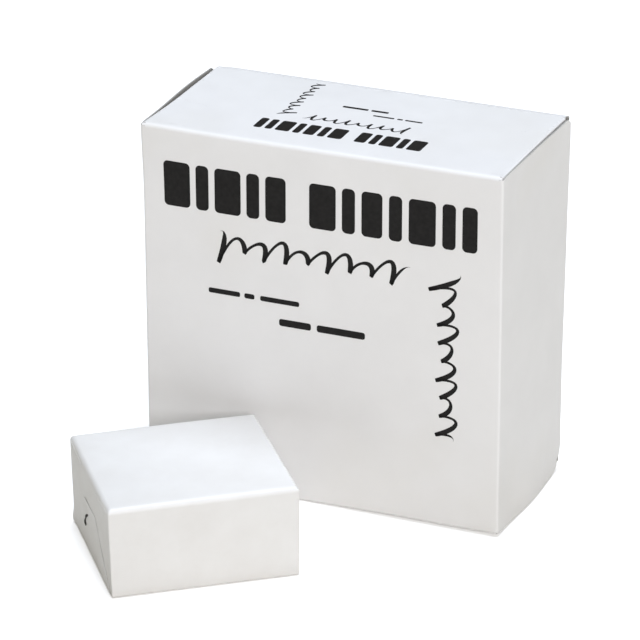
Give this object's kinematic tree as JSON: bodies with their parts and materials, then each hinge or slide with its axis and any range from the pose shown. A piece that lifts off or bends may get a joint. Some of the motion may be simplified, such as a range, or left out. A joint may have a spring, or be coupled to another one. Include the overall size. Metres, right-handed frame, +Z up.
{
  "type": "gymnastics chalk carton with blocks",
  "caption": "Tuck-end paperboard carton of paper-wrapped chalk blocks, one of them loose in front, for drying hands before gripping bars or rings.",
  "frame": {"origin": "on the floor, under the middle of the carton's base", "axes": "+X along the carton's front to the right, +Y from its front to its back, +Z up"},
  "size_m": [0.1282, 0.142, 0.122],
  "materials": {
    "coated_board": "satin",
    "waxed_paper": "satin",
    "chalk": "matte"
  },
  "bodies": {
    "carton": {"front_panel": "coated_board", "back_panel": "coated_board", "bottom_panel": "coated_board", "top_panel": "coated_board", "glue_flap": "coated_board", "packed_chalk_1": "chalk", "packed_wrapper_1": "waxed_paper", "packed_chalk_2": "chalk", "packed_wrapper_2": "waxed_paper", "packed_chalk_3": "chalk", "packed_wrapper_3": "waxed_paper", "packed_chalk_4": "chalk", "packed_wrapper_4": "waxed_paper", "packed_chalk_5": "chalk", "packed_wrapper_5": "waxed_paper", "packed_chalk_6": "chalk", "packed_wrapper_6": "waxed_paper"},
    "left_closure": {"left_closure_panel": "coated_board"},
    "left_tuck": {"left_tuck_flap": "coated_board"},
    "left_top_dust": {"left_top_dust_flap": "coated_board"},
    "left_bottom_dust": {"left_bottom_dust_flap": "coated_board"},
    "right_closure": {"right_closure_panel": "coated_board"},
    "right_tuck": {"right_tuck_flap": "coated_board"},
    "right_top_dust": {"right_top_dust_flap": "coated_board"},
    "right_bottom_dust": {"right_bottom_dust_flap": "coated_board"},
    "top_row_block": {"packed_chalk_7": "chalk", "packed_wrapper_7": "waxed_paper"},
    "loose_block": {"loose_chalk": "chalk", "loose_wrapper_sleeve": "waxed_paper", "loose_wrapper_lap": "waxed_paper", "loose_left_front_tuck": "waxed_paper", "loose_left_back_tuck": "waxed_paper", "loose_right_front_tuck": "waxed_paper", "loose_right_back_tuck": "waxed_paper"},
    "loose_left_bottom_flap": {"loose_left_bottom_flap": "waxed_paper"},
    "loose_left_top_flap": {"loose_left_top_flap": "waxed_paper"},
    "loose_right_bottom_flap": {"loose_right_bottom_flap": "waxed_paper"},
    "loose_right_top_flap": {"loose_right_top_flap": "waxed_paper"}
  },
  "joints": [
    {"name": "left_closure_hinge", "type": "hinge", "parent": "carton", "child": "left_closure", "pos_m": [-0.06075, -0.02849, 0.061], "axis": [0, 0, 1], "range_deg": [0, 150]},
    {"name": "left_tuck_fold", "type": "hinge", "parent": "left_closure", "child": "left_tuck", "pos_m": [-0.06075, 0.02784, 0.061], "axis": [0, 0, 1], "range_deg": [0, 15]},
    {"name": "left_top_dust_hinge", "type": "hinge", "parent": "carton", "child": "left_top_dust", "pos_m": [-0.0602, 0, 0.12175], "axis": [0, 1, 0], "range_deg": [0, 90]},
    {"name": "left_bottom_dust_hinge", "type": "hinge", "parent": "carton", "child": "left_bottom_dust", "pos_m": [-0.0602, 0, 0.00025], "axis": [0, -1, 0], "range_deg": [0, 90]},
    {"name": "right_closure_hinge", "type": "hinge", "parent": "carton", "child": "right_closure", "pos_m": [0.06075, -0.02849, 0.061], "axis": [0, 0, -1], "range_deg": [0, 150]},
    {"name": "right_tuck_fold", "type": "hinge", "parent": "right_closure", "child": "right_tuck", "pos_m": [0.06075, 0.02784, 0.061], "axis": [0, 0, -1], "range_deg": [0, 15]},
    {"name": "right_top_dust_hinge", "type": "hinge", "parent": "carton", "child": "right_top_dust", "pos_m": [0.0602, 0, 0.12175], "axis": [0, -1, 0], "range_deg": [0, 90]},
    {"name": "right_bottom_dust_hinge", "type": "hinge", "parent": "carton", "child": "right_bottom_dust", "pos_m": [0.0602, 0, 0.00025], "axis": [0, 1, 0], "range_deg": [0, 90]},
    {"name": "top_row_block_slide", "type": "slide", "parent": "carton", "child": "top_row_block", "axis": [-1, 0, 0], "range_m": [0, 0.0599]},
    {"name": "loose_block_lift", "type": "slide", "parent": "carton", "child": "loose_block", "axis": [0, 0, 1], "range_m": [0, 0.14]},
    {"name": "loose_left_bottom_flap_fold", "type": "hinge", "parent": "loose_block", "child": "loose_left_bottom_flap", "pos_m": [-0.05061, -0.0922, 0.00007], "axis": [0.6198, -0.7848, 0], "range_deg": [0, 90]},
    {"name": "loose_left_top_flap_fold", "type": "hinge", "parent": "loose_block", "child": "loose_left_top_flap", "pos_m": [-0.05033, -0.09199, 0.02973], "axis": [-0.6198, 0.7848, 0], "range_deg": [0, 45]},
    {"name": "loose_right_bottom_flap_fold", "type": "hinge", "parent": "loose_block", "child": "loose_right_bottom_flap", "pos_m": [-0.00379, -0.05523, 0.00007], "axis": [-0.6198, 0.7848, 0], "range_deg": [0, 90]},
    {"name": "loose_right_top_flap_fold", "type": "hinge", "parent": "loose_block", "child": "loose_right_top_flap", "pos_m": [-0.00407, -0.05545, 0.02973], "axis": [0.6198, -0.7848, 0], "range_deg": [0, 45]}
  ],
  "couplings": [
    {"joint": "left_tuck_fold", "follows": "left_closure_hinge", "ratio": 0.1},
    {"joint": "left_top_dust_hinge", "follows": "left_closure_hinge", "ratio": 0.6},
    {"joint": "left_bottom_dust_hinge", "follows": "left_closure_hinge", "ratio": 0.6},
    {"joint": "right_tuck_fold", "follows": "right_closure_hinge", "ratio": 0.1},
    {"joint": "right_top_dust_hinge", "follows": "right_closure_hinge", "ratio": 0.6},
    {"joint": "right_bottom_dust_hinge", "follows": "right_closure_hinge", "ratio": 0.6},
    {"joint": "loose_left_top_flap_fold", "follows": "loose_left_bottom_flap_fold", "ratio": 0.5},
    {"joint": "loose_right_top_flap_fold", "follows": "loose_right_bottom_flap_fold", "ratio": 0.5}
  ]
}
